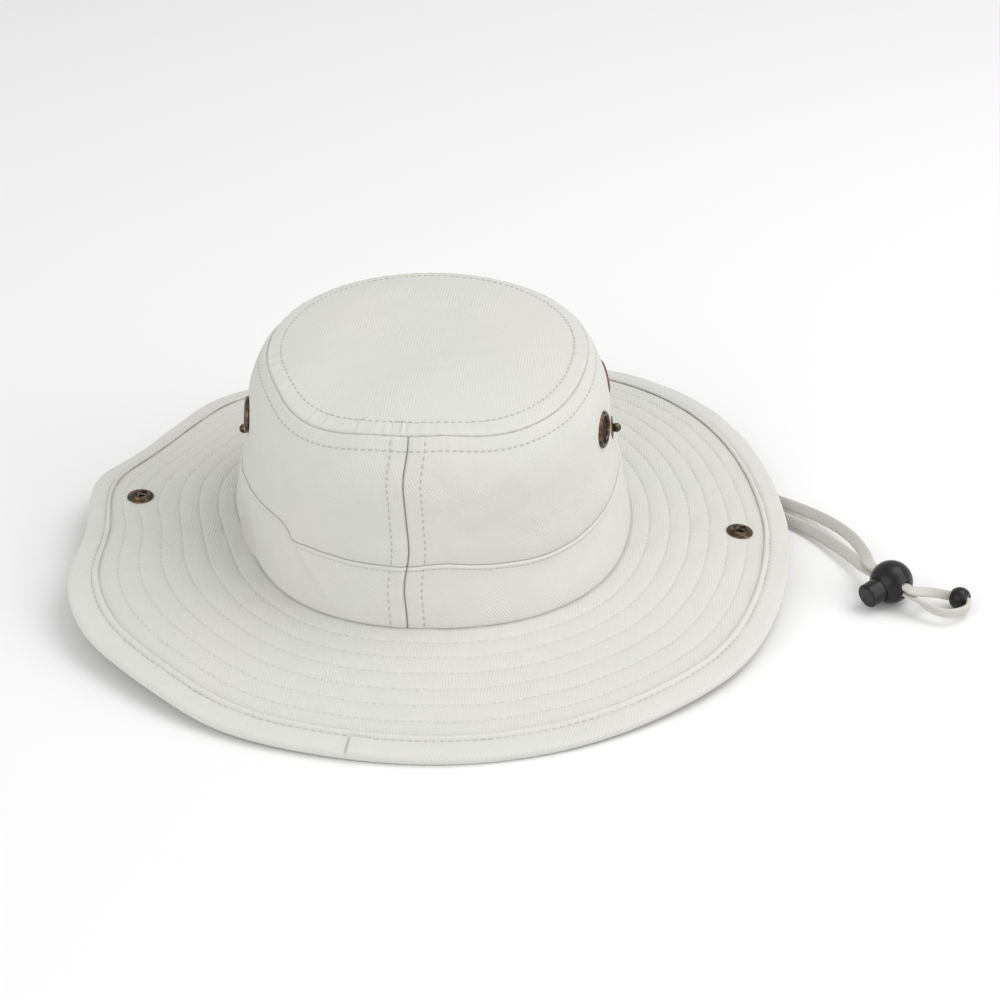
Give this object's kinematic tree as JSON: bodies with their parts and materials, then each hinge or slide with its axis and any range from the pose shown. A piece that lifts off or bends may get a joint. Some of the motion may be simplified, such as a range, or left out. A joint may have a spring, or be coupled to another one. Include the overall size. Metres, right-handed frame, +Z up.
{
  "type": "boonie hat",
  "caption": "Wide-brim cloth sun hat with a round crown, mesh eyelets, brim sides that fold up on snaps, and a flat chin cord with a ball lock.",
  "frame": {"origin": "on the floor under the middle of the brim, the hat standing as it lies on a table, chin cord not counted", "axes": "+Z up through the crown, -Y the front of the hat, +X the side where the chin cord and its lock lie"},
  "size_m": [0.4044, 0.3468, 0.1097],
  "materials": {
    "twill": "off-white cotton twill, fine diagonal rib, matt",
    "binding_twill": "the same off-white twill cut as a folded edge strip",
    "sweatband_cloth": "off-white wicking cotton, matt",
    "interlining": "white stiffening felt between the brim layers",
    "flat_cord": "off-white flat braided cotton cord",
    "antique_brass": "antique brass, dark brown with rubbed edges",
    "eyelet_mesh": "black woven mesh",
    "black_plastic": "black moulded plastic, satin gloss",
    "spring_steel": "spring wire"
  },
  "bodies": {
    "root": {"binding_front": "binding_twill", "binding_rear": "binding_twill", "brim_interlining": "interlining", "brim_lower": "twill", "brim_upper": "twill", "chin_cord": "flat_cord", "cord_bead": "black_plastic", "crown_band_left": "twill", "crown_band_right": "twill", "crown_side_left": "twill", "crown_side_right": "twill", "crown_tip": "twill", "eyelet_mesh_left_front": "eyelet_mesh", "eyelet_mesh_left_rear": "eyelet_mesh", "eyelet_mesh_right_front": "eyelet_mesh", "eyelet_mesh_right_rear": "eyelet_mesh", "eyelet_ring_left_front": "antique_brass", "eyelet_ring_left_rear": "antique_brass", "eyelet_ring_right_front": "antique_brass", "eyelet_ring_right_rear": "antique_brass", "eyelet_washer_left_front": "antique_brass", "eyelet_washer_left_rear": "antique_brass", "eyelet_washer_right_front": "antique_brass", "eyelet_washer_right_rear": "antique_brass", "snap_post_left": "antique_brass", "snap_post_right": "antique_brass", "snap_stud_left": "antique_brass", "snap_stud_right": "antique_brass", "sweatband": "sweatband_cloth"},
    "flap_left": {"flap_upper_left": "twill", "flap_interlining_left": "interlining", "flap_lower_left": "twill", "binding_left": "binding_twill", "snap_socket_left": "antique_brass", "snap_spring_left": "spring_steel", "snap_cap_left": "antique_brass"},
    "flap_right": {"flap_upper_right": "twill", "flap_interlining_right": "interlining", "flap_lower_right": "twill", "binding_right": "binding_twill", "snap_socket_right": "antique_brass", "snap_spring_right": "spring_steel", "snap_cap_right": "antique_brass"},
    "lock": {"cord_lock_body": "black_plastic", "cord_lock_spring": "spring_steel"},
    "button": {"cord_lock_plunger": "black_plastic"}
  },
  "joints": [
    {"name": "left_brim_fold", "type": "hinge", "parent": "root", "child": "flap_left", "pos_m": [-0.093, 0, 0.0203], "axis": [0, 1, 0], "range_deg": [0, 99]},
    {"name": "right_brim_fold", "type": "hinge", "parent": "root", "child": "flap_right", "pos_m": [0.093, 0, 0.0203], "axis": [0, -1, 0], "range_deg": [0, 105]},
    {"name": "lock_slide", "type": "slide", "parent": "root", "child": "lock", "axis": [0.6691, -0.7431, 0], "range_m": [-0.005, 0.002]},
    {"name": "button_press", "type": "slide", "parent": "lock", "child": "button", "axis": [0.734, 0.6609, 0.1564], "range_m": [0, 0.0024], "stiffness_N_per_m": 400, "springref_m": -0.003}
  ]
}
